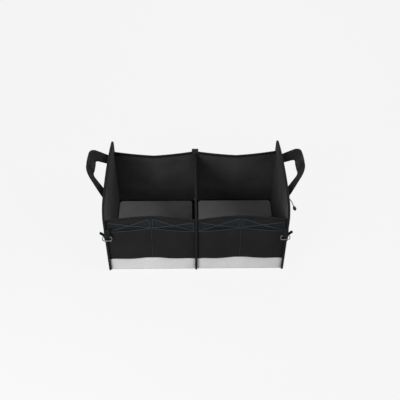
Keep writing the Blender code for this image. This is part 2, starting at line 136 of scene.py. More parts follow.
def startGroup(name, inputs, outputs):
    tree = bpy.data.node_groups.new(name, "ShaderNodeTree")
    for way, sockets in (("INPUT", inputs), ("OUTPUT", outputs)):
        for label, kind in sockets.items():
            tree.interface.new_socket(label, in_out=way, socket_type="NodeSocket" + kind)
    entry = tree.nodes.new("NodeGroupInput").outputs
    leave = tree.nodes.new("NodeGroupOutput").inputs
    return tree, entry, leave


def startWeave(name):
    return startGroup(name, {"Vector": "Vector", "Pitch": "Float"}, {"Height": "Float"})


def ribHeight(tree, turns):
    phase = mathNode(tree, "MULTIPLY", turns, pi)
    return mathNode(tree, "ABSOLUTE", mathNode(tree, "SINE", phase))


def plainWeave():
    # threads pass over and under each other, one pitch apart
    tree, entry, leave = startWeave("plainWeave")
    split = addNode(tree, "SeparateXYZ", {0: entry["Vector"]}).outputs
    turns = mathNode(tree, "DIVIDE", pi, entry["Pitch"])
    warp, weft = (mathNode(tree, "SINE", mathNode(tree, "MULTIPLY", split[axis], turns))
                  for axis in ("X", "Y"))
    over = mathNode(tree, "GREATER_THAN", mathNode(tree, "MULTIPLY", warp, weft), 0.0)
    warpRound = mathNode(tree, "ABSOLUTE", warp)
    weftRound = mathNode(tree, "ABSOLUTE", weft)
    gap = mathNode(tree, "SUBTRACT", warpRound, weftRound)
    tree.links.new(mathNode(tree, "MULTIPLY_ADD", gap, over, weftRound), leave["Height"])
    return tree


def herringbone():
    # slanted ribs that turn back on themselves every few millimetres across
    tree, entry, leave = startWeave("herringbone")
    split = addNode(tree, "SeparateXYZ", {0: entry["Vector"]}).outputs
    along = mathNode(tree, "DIVIDE", split["X"], entry["Pitch"])
    across = mathNode(tree, "DIVIDE", split["Y"], entry["Pitch"])
    slant = mathNode(tree, "PINGPONG", across, 2.0)
    tree.links.new(ribHeight(tree, mathNode(tree, "ADD", along, slant)), leave["Height"])
    return tree


def tapeRibs():
    # fine ribs straight across a tape, as on grosgrain
    tree, entry, leave = startWeave("tapeRibs")
    split = addNode(tree, "SeparateXYZ", {0: entry["Vector"]}).outputs
    along = mathNode(tree, "DIVIDE", split["X"], entry["Pitch"])
    tree.links.new(ribHeight(tree, along), leave["Height"])
    return tree


def feltFibres():
    # pressed fibres: two noises stretched different ways
    tree, entry, leave = startWeave("feltFibres")
    scale = mathNode(tree, "DIVIDE", 0.5, entry["Pitch"])
    fibres = []
    for size, turn in (((1.0, 0.25, 1.0), 0.6), ((0.25, 1.0, 1.0), -0.4)):
        way = addNode(tree, "Mapping", {"Vector": entry["Vector"], "Scale": size,
                                        "Rotation": (0.0, 0.0, turn)})
        fibres.append(noiseNode(tree, way.outputs[0], scale, 2.0))
    tree.links.new(mathNode(tree, "MAXIMUM", *fibres), leave["Height"])
    return tree


# tone patches and lint, painted shade in the thread gaps, and the noise scale for the painted light
# bands
toneAndShade = {"patchScale": 14.0, "lintScale": 420.0, "maskNoiseScale": 60.0, "lint": 0.5, "level": 0.84,
        "threadGapShade": 0.25, "gloss": 0.25}


def clothShade():
    # slow patches and fine lint over a cloth's colour, with painted shade in the thread gaps
    tree, entry, leave = startGroup(
        "clothShade",
        {"Place": "Vector", "Tone": "Color", "Height": "Float", "Mottle": "Float",
         "Roughness": "Float"},
        {"Color": "Color", "Roughness": "Float"})
    slow = noiseNode(tree, entry["Place"], toneAndShade["patchScale"], 4.0)
    fine = noiseNode(tree, entry["Place"], toneAndShade["lintScale"], 2.0)
    patch = mathNode(tree, "MULTIPLY", mathNode(tree, "SUBTRACT", slow, 0.5), entry["Mottle"])
    lint = mathNode(tree, "MULTIPLY", mathNode(tree, "SUBTRACT", fine, 0.5), toneAndShade["lint"])
    light = mathNode(tree, "ADD", mathNode(tree, "ADD", patch, lint), toneAndShade["level"])
    # painted shade: darker where the weave is low, lighter on the thread tops
    threadGapShade = mathNode(tree, "MULTIPLY_ADD", entry["Height"], toneAndShade["threadGapShade"], light)
    tree.links.new(scaleNode(tree, entry["Tone"], threadGapShade), leave["Color"])
    spread = mathNode(tree, "MULTIPLY_ADD", patch, toneAndShade["gloss"], entry["Roughness"])
    tree.links.new(spread, leave["Roughness"])
    return tree


def paintedLightAndStripes():
    # mask that fades from a line: painted highlight on a tape's fold and a panel's front, painted
    # shade at a band's ends, and paler stripes on a sleeve
    tree, entry, leave = startGroup(
        "paintedLightAndStripes",
        {"Vector": "Vector", "Place": "Float", "Centre": "Float", "Reach": "Float",
         "Unevenness": "Float"},
        {"Rub": "Float"})
    off = mathNode(tree, "ABSOLUTE", mathNode(tree, "SUBTRACT", entry["Place"], entry["Centre"]))
    near = mathNode(tree, "SUBTRACT", 1.0, mathNode(tree, "DIVIDE", off, entry["Reach"]))
    patchy = noiseNode(tree, entry["Vector"], toneAndShade["maskNoiseScale"], 3.0)
    spread = mathNode(tree, "SUBTRACT", patchy, 0.5)
    patchy = mathNode(tree, "MULTIPLY_ADD", spread, entry["Unevenness"], 0.5)
    edge = mathNode(tree, "MULTIPLY", mathNode(tree, "MAXIMUM", near, 0.0), patchy)
    tree.links.new(edge, leave["Rub"])
    return tree


groups = {
    "plain": plainWeave(),
    "herring": herringbone(),
    "ribs": tapeRibs(),
    "felt": feltFibres(),
    "shade": clothShade(),
    "lightAndStripe": paintedLightAndStripes(),
}


clothLooks = {
    # weave, tone, pitch, depth, roughness, sheen, mottle, specular
    "panelCloth": ("plain", (0.033,) * 3, 0.0012, 0.00016, 0.74, 0.06, 0.5, 0.08),
    "wallCloth": ("plain", (0.050,) * 3, 0.0012, 0.00016, 0.78, 0.05, 0.5, 0.08),
    "pocketCloth": ("plain", (0.0165,) * 3, 0.0012, 0.00016, 0.80, 0.02, 0.6, 0.05),
    "meshCloth": ("plain", (0.016, 0.018, 0.020), 0.0022, 0.00030, 0.78, 0.03, 0.4, 0.08),
    "bindingTape": ("ribs", (0.0115,) * 3, 0.0010, 0.00012, 0.74, 0.02, 0.4, 0.08),
    "baseCloth": ("plain", (0.68,) * 3, 0.0010, 0.00006, 0.55, 0.0, 0.12, 0.35),
    "sheetCloth": ("plain", (0.66,) * 3, 0.0010, 0.00006, 0.55, 0.0, 0.12, 0.08),
    "floorFelt": ("felt", (0.250,) * 3, 0.0010, 0.00020, 0.90, 0.10, 0.35, 0.08),
    "strapWebbing": ("herring", (0.0105, 0.0108, 0.0108), 0.0016, 0.00028, 0.66, 0.06, 0.4, 0.08),
    "sleeveWebbing": ("herring", (0.0105, 0.0108, 0.0108), 0.0016, 0.00028, 0.66, 0.06, 0.4, 0.08),
    "elasticBraid": ("herring", (0.040, 0.052, 0.062), 0.0009, 0.00015, 0.62, 0.08, 0.3, 0.08),
    "blackThread": ("herring", (0.016, 0.017, 0.018), 0.0004, 0.00005, 0.60, 0.05, 0.2, 0.08),
    "greyThread": ("herring", (0.034, 0.036, 0.039), 0.0004, 0.00005, 0.60, 0.05, 0.2, 0.08),
}
lightAndStripeBands = {
    # axis, span it repeats over, centre, reach, level, unevenness
    # paler towards the front edge of the side panels and divider: painted highlight
    "panelCloth": ("X", None, 0.0, 0.20, 6.0, 0.2),
    # paler along the tape's fold: painted highlight
    "bindingTape": ("Y", None, 0.5, 0.5, 1.5, 1.0),
    # darker at both ends of each base band: painted shade
    "baseCloth": ("X", halfWidth, 0.0, 0.012, 0.1, 1.0),
    "sleeveWebbing": ("Y", 0.010, 0.0, 0.0042, 5.0, 1.0),
}
# painted shade: near-black top on the base sheet, for the shade in the gaps between floor boards
# and walls
insideShade = {"cloth": "sheetCloth", "level": 0.00135, "tone": (0.008,) * 3}
hardLooks = {
    # tone, roughness, metallic
    "ringMetal": ((0.20,) * 3, 0.42, 1.0),
    "eyeletMetal": ((0.035, 0.035, 0.037), 0.36, 1.0),
    "togglePlastic": ((0.010, 0.010, 0.011), 0.42, 0.0),
}


def startMaterial(name, tone, mottle, roughness):
    mat = bpy.data.materials.new(name)
    mat.use_nodes = True
    tree = mat.node_tree
    shader = tree.nodes["Principled BSDF"].inputs
    place = addNode(tree, "TexCoord").outputs["Object"]
    shade = addNode(tree, "Group", {"Place": place, "Tone": (*tone, 1.0), "Mottle": mottle,
                                    "Roughness": roughness}, node_tree=groups["shade"])
    tree.links.new(shade.outputs["Roughness"], shader["Roughness"])
    return mat, tree, shader, place, shade


def finishMaterial(tree, shader, colour, height, depth, strength):
    tree.links.new(colour, shader["Base Color"])
    bump = addNode(tree, "Bump", {"Height": height, "Distance": depth, "Strength": strength})
    tree.links.new(bump.outputs[0], shader["Normal"])


def clothMaterial(name, weave, tone, pitch, depth, roughness, sheen, mottle, specular):
    mat, tree, shader, place, shade = startMaterial(name, tone, mottle, roughness)
    shader["Sheen Weight"].default_value = sheen
    shader["Sheen Roughness"].default_value = 0.45
    shader["Specular IOR Level"].default_value = specular
    flat = addNode(tree, "UVMap", uv_map="cloth").outputs[0]
    height = addNode(tree, "Group", {"Vector": flat, "Pitch": pitch},
                     node_tree=groups[weave]).outputs[0]
    tree.links.new(height, shade.inputs["Height"])
    colour = shade.outputs["Color"]
    # painted highlight and shade: the colour made paler or darker along a band from the table
    # above; on the sleeve, paler stripes
    if name in lightAndStripeBands:
        axis, span, centre, reach, level, uneven = lightAndStripeBands[name]
        across = addNode(tree, "SeparateXYZ", {0: flat}).outputs[axis]
        if span:
            across = mathNode(tree, "PINGPONG", across, span / 2)
        lightAndStripe = addNode(tree, "Group", {"Vector": flat, "Place": across, "Centre": centre,
                                      "Reach": reach, "Unevenness": uneven},
                      node_tree=groups["lightAndStripe"]).outputs[0]
        colour = mixNode(tree, lightAndStripe, colour, scaleNode(tree, colour, level))
    # painted shade: the top of the base sheet is near-black, standing in for the shade in the gaps
    # between the boards and the walls
    if name == insideShade["cloth"]:
        above = addNode(tree, "SeparateXYZ", {0: place}).outputs["Z"]
        inside = mathNode(tree, "GREATER_THAN", above, insideShade["level"])
        colour = mixNode(tree, inside, colour, insideShade["tone"])
    finishMaterial(tree, shader, colour, height, depth, 0.8)
    return mat


polish = {"mottle": 0.3, "height": 0.6, "pitScale": 900.0, "pitDepth": 0.00003, "strength": 0.6}


def hardMaterial(name, tone, roughness, metallic):
    # metal or plastic with a faint uneven polish
    mat, tree, shader, place, shade = startMaterial(name, tone, polish["mottle"], roughness)
    shader["Metallic"].default_value = metallic
    shade.inputs["Height"].default_value = polish["height"]
    pits = noiseNode(tree, place, polish["pitScale"], 2.0)
    finishMaterial(tree, shader, shade.outputs["Color"], pits, polish["pitDepth"],
                   polish["strength"])
    return mat


materials = {name: clothMaterial(name, *look) for name, look in clothLooks.items()}
materials.update({name: hardMaterial(name, *look) for name, look in hardLooks.items()})
print("materials made")


# geometry helpers

def sideFace(z, inside):
    middle = halfWidth - panelHalf + z * tan(box["lean"])
    return middle + (-1 if inside else 1) * panelHalf / cos(box["lean"])


def bayX(sign, u, z, outerGap, innerGap):
    near = panelHalf + innerGap
    far = sideFace(z, True) - outerGap
    return sign * (near + (far - near) * u)


def bow(x, z, height, depth, crease):
    near = panelHalf
    off = abs(2 * (abs(x) - near) / (sideFace(z, True) - near) - 1)
    shape = (1 - crease) * (1 - off ** 2) + crease * (1 - off)
    up = min(z / height, 1.0)
    return depth * shape * up * (1.7 - 0.7 * up)


def frontY(x, z, outward):
    inward = bow(x, z, box["frontHeight"], box["frontBow"], box["frontCrease"])
    return inward - (wallHalf - wallFace) - outward


def rearY(x, z, outward):
    inward = bow(x, z, box["rearHeight"], box["rearBow"], box["rearCrease"])
    return wallHalf - wallFace + outward - inward


def ripple(x, y, scale, seed):
    return noise.noise(Vector((x * scale + seed, y * scale, 0.0)))


def waves(x, z, scales, seed, squash=1.0):
    # slow waves with finer ones at 0.4 of their height
    return ripple(x, z * squash, scales[0], seed) + 0.4 * ripple(x, z, scales[1], seed)


def ease(value, width):
    # 0 at an edge, rising to 1 at a width in from it
    share = min(max(value / width, 0.0), 1.0)
    return share * share * (3 - 2 * share)


def arc(centre, run, rise, first, last, steps):
    # points on an ellipse with the given half sizes, angles in degrees
    turn = [radians(first + (last - first) * k / steps) for k in range(steps + 1)]
    return [(centre[0] + run * cos(a), centre[1] + rise * sin(a)) for a in turn]


def roundedPath(corners, cuts, steps, closed=False):
    count = len(corners)
    path = []
    for i, corner in enumerate(corners):
        here = Vector(corner)
        if not (closed or 0 < i < count - 1):
            path.append(here)
            continue
        start = here + (Vector(corners[i - 1]) - here).normalized() * cuts[i]
        end = here + (Vector(corners[(i + 1) % count]) - here).normalized() * cuts[i]
        for k in range(steps + 1):
            t = k / steps
            path.append(start * (1 - t) ** 2 + here * 2 * t * (1 - t) + end * t ** 2)
    return path


def smoothRoute(points, steps):
    ends = [Vector(p) for p in (points[0], *points, points[-1])]
    route = []
    for i in range(1, len(ends) - 2):
        a, b, c, d = ends[i - 1:i + 3]
        for k in range(steps):
            t = k / steps
            route.append(((2 * b) + (c - a) * t + (2 * a - 5 * b + 4 * c - d) * t ** 2
                          + (3 * b - a - 3 * c + d) * t ** 3) / 2)
    return route + [ends[-2]]


def pathLength(points, closed=False):
    total = sum((b - a).length for a, b in zip(points, points[1:]))
    return total + ((points[0] - points[-1]).length if closed else 0.0)


def evenPath(points, count):
    # the same line with its points an equal way apart
    line = [Vector(p) for p in points]
    step = pathLength(line) / (count - 1)
    made = [line[0].copy()]
    run = 0.0
    for a, b in zip(line, line[1:]):
        length = (b - a).length
        while length > 0 and run + length >= step * len(made) - weld * 0.01 and len(made) < count:
            made.append(a.lerp(b, min((step * len(made) - run) / length, 1.0)))
        run += length
    while len(made) < count:
        made.append(line[-1].copy())
    return made


def showPiece(name, mesh, finish, node=None, body="box"):
    obj = bpy.data.objects.new(name, mesh)
    scene.collection.objects.link(obj)
    mesh.materials.append(materials[finish])
    mesh.shade_smooth()
    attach(obj, body)
    if node:
        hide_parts(node)
    return obj


def meshFrom(bm, name):
    mesh = bpy.data.meshes.new(name)
    bm.to_mesh(mesh)
    bm.free()
    return mesh


def thicken(obj, thickness, levels=1):
    shell = obj.modifiers.new("thickness", "SOLIDIFY")
    shell.thickness = thickness
    shell.offset = 0.0
    shell.use_even_offset = True
    if levels:
        soft = obj.modifiers.new("soft", "SUBSURF")
        soft.levels = levels
        soft.render_levels = levels
    return obj


def clothGrid(name, columns, rows, place, flat, closed=False):
    # a grid shaped by place(u, v), whose map is in metres of the flat cloth
    bm = bmesh.new()
    uv = bm.loops.layers.uv.new("cloth")
    bmesh.ops.create_grid(bm, x_segments=columns, y_segments=rows, size=0.5, calc_uvs=True)
    for face in bm.faces:
        for loop in face.loops:
            loop[uv].uv = (loop[uv].uv.x * flat[0], loop[uv].uv.y * flat[1])
    for vert in bm.verts:
        vert.co = place(vert.co.x + 0.5, vert.co.y + 0.5)
    if closed:
        bmesh.ops.remove_doubles(bm, verts=bm.verts, dist=weld)
        bmesh.ops.recalc_face_normals(bm, faces=bm.faces)
    return meshFrom(bm, name)


def showCloth(name, finish, node, thickness, columns, rows, place, flat, closed=False, levels=1):
    mesh = clothGrid(name, columns, rows, place, flat, closed)
    return thicken(showPiece(name, mesh, finish, node), thickness, levels)


def pathFrames(points, closed):
    # a direction and two square to it at each point, carried along without twist
    last = len(points) - 1
    frames = []
    side = None
    for i in range(len(points)):
        if closed:
            run = points[(i + 1) % len(points)] - points[i - 1]
        else:
            run = points[min(i + 1, last)] - points[max(i - 1, 0)]
        run.normalize()
        if side is None:
            side = run.orthogonal().normalized()
        side = (side - run * side.dot(run)).normalized()
        frames.append((run, side, run.cross(side)))
    return frames


endDome = ((0.5, 0.8), (0.75, 0.0))  # how far past a cord's end and how wide, in its radius


def showCord(name, finish, node, points, radius, around=10, closed=False, body="box"):
    # a round cord along the points, its open ends domed
    frames = pathFrames(points, closed)
    rings = [(p, f, 1.0) for p, f in zip(points, frames)]
    if not closed:
        for end, step in ((0, -1.0), (-1, 1.0)):
            dome = [(points[end] + frames[end][0] * step * radius * far, frames[end], wide)
                    for far, wide in endDome]
            rings = dome[::-1] + rings if end == 0 else rings + dome
    last = len(rings) if closed else len(rings) - 1
    length = pathLength(points, closed)

    def place(u, v):
        centre, face, wide = rings[round(u * last) % len(rings)]
        turn = v * tau
        return centre + (face[1] * cos(turn) + face[2] * sin(turn)) * radius * wide

    mesh = clothGrid(name, last, around, place, (length, tau * radius), closed=True)
    return showPiece(name, mesh, finish, node, body)


stitch = {"length": 0.0034, "pitch": 0.0050, "radius": 0.00042, "lift": 0.0001}


def sewLine(bm, points, normals):
    # short raised threads along a line, half sunk in the cloth
    total = pathLength(points)
    count = max(int(total / stitch["pitch"]), 1)
    size = Matrix.Diagonal((stitch["length"] / 2, stitch["radius"], stitch["radius"], 1.0))
    run = 0.0
    made = 0
    for i in range(len(points) - 1):
        a, b = points[i], points[i + 1]
        length = (b - a).length
        while length > 0 and made < count and run + length >= (made + 0.5) * total / count:
            share = ((made + 0.5) * total / count - run) / length
            along = (b - a).normalized()
            up = (normals[i].lerp(normals[i + 1], share)).normalized()
            across = up.cross(along).normalized()
            turn = Matrix((along, across, up)).transposed().to_4x4()
            bmesh.ops.create_icosphere(bm, subdivisions=1, radius=1.0,
                                       matrix=Matrix.Translation(a.lerp(b, share)) @ turn @ size)
            made += 1
        run += length


def sewnPiece(name, lines, finish):
    bm = bmesh.new()
    bm.loops.layers.uv.new("cloth")
    for points, normals in lines:
        sewLine(bm, points, normals)
    return showPiece(name, meshFrom(bm, name), finish)


def frontRow(points, lift):
    # a line of stitches that faces forward, lifted off its cloth
    normal = Vector((0, -1, 0))
    return [p + normal * (lift + stitch["lift"]) for p in points], [normal] * len(points)


# the loose elastic on the right side, with its eyelet and toggle

sideCord = {
    "route": (
        (0.3494, -0.1500, 0.3020),
        (0.3540, -0.1502, 0.3008),
        (0.3592, -0.1507, 0.2945),
        (0.3640, -0.1513, 0.2855),
        (0.3685, -0.1519, 0.2760),
        (0.3722, -0.1524, 0.2675),
    ),
    "radius": 0.0015,
    "eyeletRadius": 0.0034,
    "eyeletWire": 0.0013,
    "eyeletPlace": (-0.150, 0.302),
    # toggle outline from its neck to its tip: distance out, distance along
    "toggle": ((0.0, 0.0), (0.0021, 0.0), (0.0027, 0.0006), (0.0036, 0.0018), (0.0051, 0.0044),
               (0.0061, 0.0078), (0.0064, 0.0096), (0.0059, 0.0101), (0.0059, 0.0109),
               (0.0064, 0.0114), (0.0062, 0.0142), (0.0053, 0.0172), (0.0038, 0.0195),
               (0.0020, 0.0207), (0.0, 0.0210)),
}


def makeSideCord():
    route = smoothRoute(sideCord["route"], 5)
    run = (route[-1] - route[-2]).normalized()
    bm = bmesh.new()
    outline = [bm.verts.new((out, 0.0, along)) for out, along in sideCord["toggle"]]
    edges = [bm.edges.new(pair) for pair in zip(outline, outline[1:])]
    bmesh.ops.spin(bm, geom=outline + edges, axis=(0, 0, 1), cent=(0, 0, 0), angle=tau,
                   steps=36, use_merge=True)
    bmesh.ops.remove_doubles(bm, verts=bm.verts, dist=weld)
    bmesh.ops.recalc_face_normals(bm, faces=bm.faces)
    end = route[-1] + run * seamGap * 2
    turn = run.to_track_quat("Z", "Y").to_matrix().to_4x4()
    bmesh.ops.transform(bm, matrix=Matrix.Translation(end) @ turn, verts=bm.verts)
    toggle = showPiece("cordToggle", meshFrom(bm, "cordToggle"), "togglePlastic", "cord_toggle")
    tail = showCord("sideCord", "elasticBraid", "side_cord", route, sideCord["radius"])
    y, z = sideCord["eyeletPlace"]
    face = sideFace(z, False) + seamGap + sideCord["eyeletWire"]
    lean = Matrix.Rotation(pi / 2 + box["lean"], 4, "Y")
    spot = Matrix.Translation((face, y, z)) @ lean
    ringLine = [spot @ Vector((*point, 0.0))
                for point in arc((0, 0), *[sideCord["eyeletRadius"]] * 2, 0, 350, 35)]
    showCord("cordEyelet", "eyeletMetal", "cord_eyelet", ringLine, sideCord["eyeletWire"],
             closed=True)


makeSideCord()
print("side cord made")


# side panels and divider, with tape round their edges

panel = {
    "sideHeight": 0.338,
    "rearShoulder": 0.320,
    "rearCorner": 0.022,
    "frontShoulder": 0.322,
    "frontRun": 0.078,
    "frontDrop": 0.0675,
    "footCorner": 0.009,
    "dividerDip": 0.012,
    "dividerCorner": 0.010,
    "columns": 64,
    "rows": 44,
    "wave": 0.0007,
    "waveScales": (9, 27),
    "calmEdge": 0.010,
    "calmFade": 0.030,
}
tape = {"points": 240, "bend": 0.0016, "sewnIn": 0.0022, "plainEnds": 3}
bindingDepth = box["fin"] - baseThick - bowGap - 2 * seamGap
insideShare = 0.9999  # keeps a grid's end columns within its outline


def mirrored(points):
    return [(-y, z) for y, z in reversed(points)]


def endOutline(height, run, drop, last, steps):
    # one end of a panel, from its foot up round its shoulder
    foot = panel["footCorner"]
    start = arc((finHalf - foot, panelFoot + foot), foot, foot, -90, 0, 8)
    return start + arc((finHalf - run, height - drop), run, drop, 0, last, steps)


def bridged(rear, front, steps, rise):
    # both ends joined by points that rise or dip between them
    (ya, za), (yb, zb) = rear[-1], front[0]
    shares = [k / steps for k in range(1, steps)]
    return rear + [(ya + (yb - ya) * t, za + (zb - za) * t + rise(t)) for t in shares] + front


def sideOutline():
    corner = panel["rearCorner"]
    rear = endOutline(panel["rearShoulder"], corner, corner, 78, 14)
    front = mirrored(endOutline(panel["frontShoulder"], panel["frontRun"], panel["frontDrop"],
                                80, 20))
    rise = panel["sideHeight"] - (rear[-1][1] + front[0][1]) / 2
    return bridged(rear, front, 40, lambda t: rise * (1 - (1 - 2 * t) ** 2))


def dividerOutline():
    corner = panel["dividerCorner"]
    rear = endOutline(box["rearHeight"], corner, corner, 90, 8)
    front = mirrored(endOutline(box["frontHeight"], corner, corner, 90, 8))
    return bridged(rear, front, 30, lambda t: -panel["dividerDip"] * sin(pi * t))


def crossings(outline, y):
    levels = []
    for (ya, za), (yb, zb) in zip(outline, outline[1:] + outline[:1]):
        if (ya - y) * (yb - y) <= 0 and ya != yb:
            levels.append(za + (zb - za) * (y - ya) / (yb - ya))
    return min(levels), max(levels)


def bindEdge(name, node, path, outward, across, halfGap, depth, plainEnds=0):
    # tape folded over an edge, with a line of stitches along each of its faces
    lip = seamGap + box["tapeThick"] / 2
    reach = halfGap + lip
    turn = min(reach, tape["bend"])
    bend = arc((reach - turn, lip - turn), turn, turn, 0, 90, 3)
    half = [(reach, -depth), (reach, -depth * 0.5)] + bend
    section = [(-s, o) for s, o in half] + [(s, o) for s, o in reversed(half)]
    last, rows = len(path) - 1, len(section) - 1

    def place(u, v):
        i = round(u * last)
        side, out = section[round(v * rows)]
        return path[i] + across[i] * side + outward[i] * out

    showCloth(name, "bindingTape", node, box["tapeThick"], last, rows, place,
              (pathLength(path), 1.0))
    level = halfGap + seamGap + box["tapeThick"] + stitch["lift"]
    lines = []
    for face in (-1, 1):
        inner = [p + a * level * face - o * (depth - tape["sewnIn"])
                 for p, a, o in zip(path, across, outward)]
        normals = [a * face for a in across]
        sewn = slice(plainEnds, len(path) - plainEnds)
        lines.append((inner[sewn], normals[sewn]))
    sewnPiece(name + "Stitch", lines, "blackThread")


def boundPanel(title, node, bindingNode, outline, placeX, lean, seed):
    turn = Matrix(((0, 0, 1, 0), (1, 0, 0, 0), (0, 1, 0, 0), (0, 0, 0, 1)))
    stand = Matrix.Translation((placeX, 0, 0)) @ Matrix.Rotation(lean, 4, "Y") @ turn
    tall = max(z for y, z in outline)

    def place(u, v):
        y = -finHalf * cos(pi * u) * insideShare
        low, high = crossings(outline, y)
        z = low + (high - low) * (0.5 - 0.5 * cos(pi * v))
        edge = min(finHalf - abs(y), z, high - z)
        quiet = ease(edge - panel["calmEdge"], panel["calmFade"])
        wave = waves(y, z, panel["waveScales"], seed)
        return stand @ Vector((y, z, panel["wave"] * wave * quiet))

    showCloth(title + "Panel", "panelCloth", node, box["panelThick"], panel["columns"],
              panel["rows"], place, (2 * finHalf, tall))
    path = evenPath([Vector((y, z, 0)) for y, z in outline], tape["points"])
    outward = []
    for i in range(len(path)):
        run = path[min(i + 1, len(path) - 1)] - path[max(i - 1, 0)]
        outward.append(Vector((run.y, -run.x, 0)).normalized())
    outward[0] = outward[-1] = Vector((0, -1, 0))
    facing = stand.to_3x3()
    bindEdge(title + "Binding", bindingNode, [stand @ p for p in path],
             [facing @ o for o in outward], [facing @ Vector((0, 0, 1))] * len(path),
             panelHalf, bindingDepth, tape["plainEnds"])


for title, side, sign in sides:
    boundPanel("side" + title, f"side_panel_{side}", f"side_binding_{side}", sideOutline(),
               sign * (box["width"] - box["panelThick"]) / 2, sign * box["lean"], 3 + sign)
boundPanel("divider", "divider_panel", "divider_binding", dividerOutline(), 0.0, 0.0, 9)
print("panels made")


# front and rear walls with tape over their top edges

wall = {
    "columns": 60,
    "rows": 26,
    "evenShare": 0.1,
    "frontWave": 0.0002,
    "rearWave": 0.0016,
    "waveScales": (12, 33),
    "waveFades": (0.03, 0.02),
    "rearSag": 0.011,
    "sagFades": (0.05, 0.07),
    "calmEnds": 0.08,
    "calmFoot": 0.060,
    "underHem": 0.018,
    "underHemFade": 0.006,
    "hemDepth": 0.008,
    "hemPoints": 90,
}
touchGap = 0.0001
dividerEndGap = tapeStand + seamGap + box["rimTurn"]


def closeEnds(share):
    # grid lines crowd towards both ends, so that smoothing keeps the corners square
    even = wall["evenShare"]
    return even * share + (1 - even) * (0.5 - 0.5 * cos(pi * share))


def makeWall(end, surface, height, wave, sag, title, side, sign):
    foot = panelFoot + box["rimTurn"]
    name = f"{end}Wall{title}"

    def calm(z, fades):
        # 0 at the band and at the hem, 1 between them
        return ease(z - wall["calmFoot"], fades[0]) * ease(height - z - wall["hemDepth"], fades[1])

    def place(u, v):
        u, v = closeEnds(u), closeEnds(v)
        z = foot + (height - foot) * v
        hem = ease(z - height + wall["underHem"], wall["underHemFade"])
        x = bayX(sign, u, z, touchGap, touchGap + (dividerEndGap - touchGap) * hem)
        quiet = ease(min(u, 1 - u), wall["calmEnds"]) * calm(z, wall["waveFades"])
        off = wave * quiet * waves(x, z, wall["waveScales"], sign, 0.5)
        off += sag * calm(z, wall["sagFades"]) * sin(pi * abs(2 * u - 1)) ** 2
        return Vector((x, surface(x, z, off), z))

    showCloth(name, "wallCloth", f"{end}_wall_{side}", box["wallThick"], wall["columns"],
              wall["rows"], place, (halfWidth, height))
    path = []
    steps = wall["hemPoints"]
    for k in range(steps + 1):
        x = bayX(sign, k / steps, height, touchGap, dividerEndGap)
        x += sign * box["rimTurn"] * ((k == 0) - (k == steps))
        path.append(Vector((x, surface(x, height, 0), height)))
    up = Vector((0, 0, 1))
    across = []
    for k in range(len(path)):
        run = path[min(k + 1, steps)] - path[max(k - 1, 0)]
        across.append(run.cross(up).normalized())
    bindEdge(f"{end}Hem{title}", f"{end}_hem_{side}", path, [up] * len(path), across,
             wallFace + bowGap - seamGap, wall["hemDepth"])


for title, side, sign in sides:
    makeWall("front", frontY, box["frontHeight"], wall["frontWave"], 0.0, title, side, sign)
    makeWall("rear", rearY, box["rearHeight"], wall["rearWave"], wall["rearSag"], title, side, sign)
print("walls made")


# light coated base: one sheet underneath and a band over the foot of each wall

base = {"bandHeight": 0.056, "wave": 0.0002, "waveScale": 45, "calmEnds": 0.05, "calmFoot": 0.02,
        "seamRise": 0.0005, "seamWide": 0.0016}


def makeBase():
    halfDepth = wallHalf + bowGap + baseThick

    def flatPlace(u, v):
        return Vector((halfWidth * (2 * u - 1), halfDepth * (2 * v - 1), baseThick / 2))

    sheet = showCloth("baseSheet", "sheetCloth", "base_sheet", baseThick, 60, 40, flatPlace,
                      (2 * halfWidth, 2 * halfDepth))
    outward = wallFace + bowGap + baseThick / 2
    for end, surface in (("front", frontY), ("rear", rearY)):
        for title, side, sign in sides:
            def place(u, v):
                z = panelFoot + (base["bandHeight"] - panelFoot) * v
                x = bayX(sign, u, z, seamGap, seamGap)
                middle = abs(x - bayX(sign, 0.5, z, 0, 0))
                seam = base["seamRise"] * exp(-(middle / base["seamWide"]) ** 2)
                wave = base["wave"] * ripple(x, z, base["waveScale"], sign)
                wave *= ease(min(u, 1 - u), base["calmEnds"]) * ease(z, base["calmFoot"])
                return Vector((x, surface(x, z, outward + seam + wave), z))

            showCloth(f"{end}Band{title}", "baseCloth", f"base_band_{end}_{side}",
                      baseThick, 120, 14, place, (halfWidth, base["bandHeight"]))


makeBase()
print("base made")


# loose floor boards covered in felt

board = {"thick": 0.005, "corner": 0.014, "sideGap": 0.004, "midGap": 0.011, "endGap": 0.009,
         "crown": 0.0009, "crownFade": 0.06, "wave": 0.0005, "waveScale": 14, "waveFade": 0.02}


def makeBoards():
    corner = board["corner"]
    inner = panelHalf + board["midGap"]
    outer = sideFace(0.0, True) - board["sideGap"]
    halfX = (outer - inner) / 2
    halfY = wallHalf - box["wallThick"] - board["endGap"]
    outline = []
    for k, (sx, sy) in enumerate(((1, 1), (-1, 1), (-1, -1), (1, -1))):
        centre = (sx * (halfX - corner), sy * (halfY - corner))
        outline += arc(centre, corner, corner, 90 * k, 90 * k + 90, 10)
    level = panelFoot + board["thick"] / 2
    for title, side, sign in sides:
        middle = sign * (inner + outer) / 2

        def place(u, v):
            x = -halfX * cos(pi * u) * insideShare
            low, high = crossings(outline, x)
            y = low + (high - low) * (0.5 - 0.5 * cos(pi * v))
            inside = min(halfX - abs(x), halfY - abs(y))
            rise = board["crown"] * ease(inside, board["crownFade"])
            wave = ripple(x, y, board["waveScale"], sign) + 0.5
            rise += board["wave"] * wave * ease(inside, board["waveFade"])
            return Vector((middle + x, y, level + rise))

        showCloth(f"floorBoard{title}", "floorFelt", f"floor_board_{side}", board["thick"], 48, 48,
                  place, (2 * halfX, 2 * halfY))


makeBoards()
print("floor boards made")


# front pockets with elastic at their mouths and laced over their tops

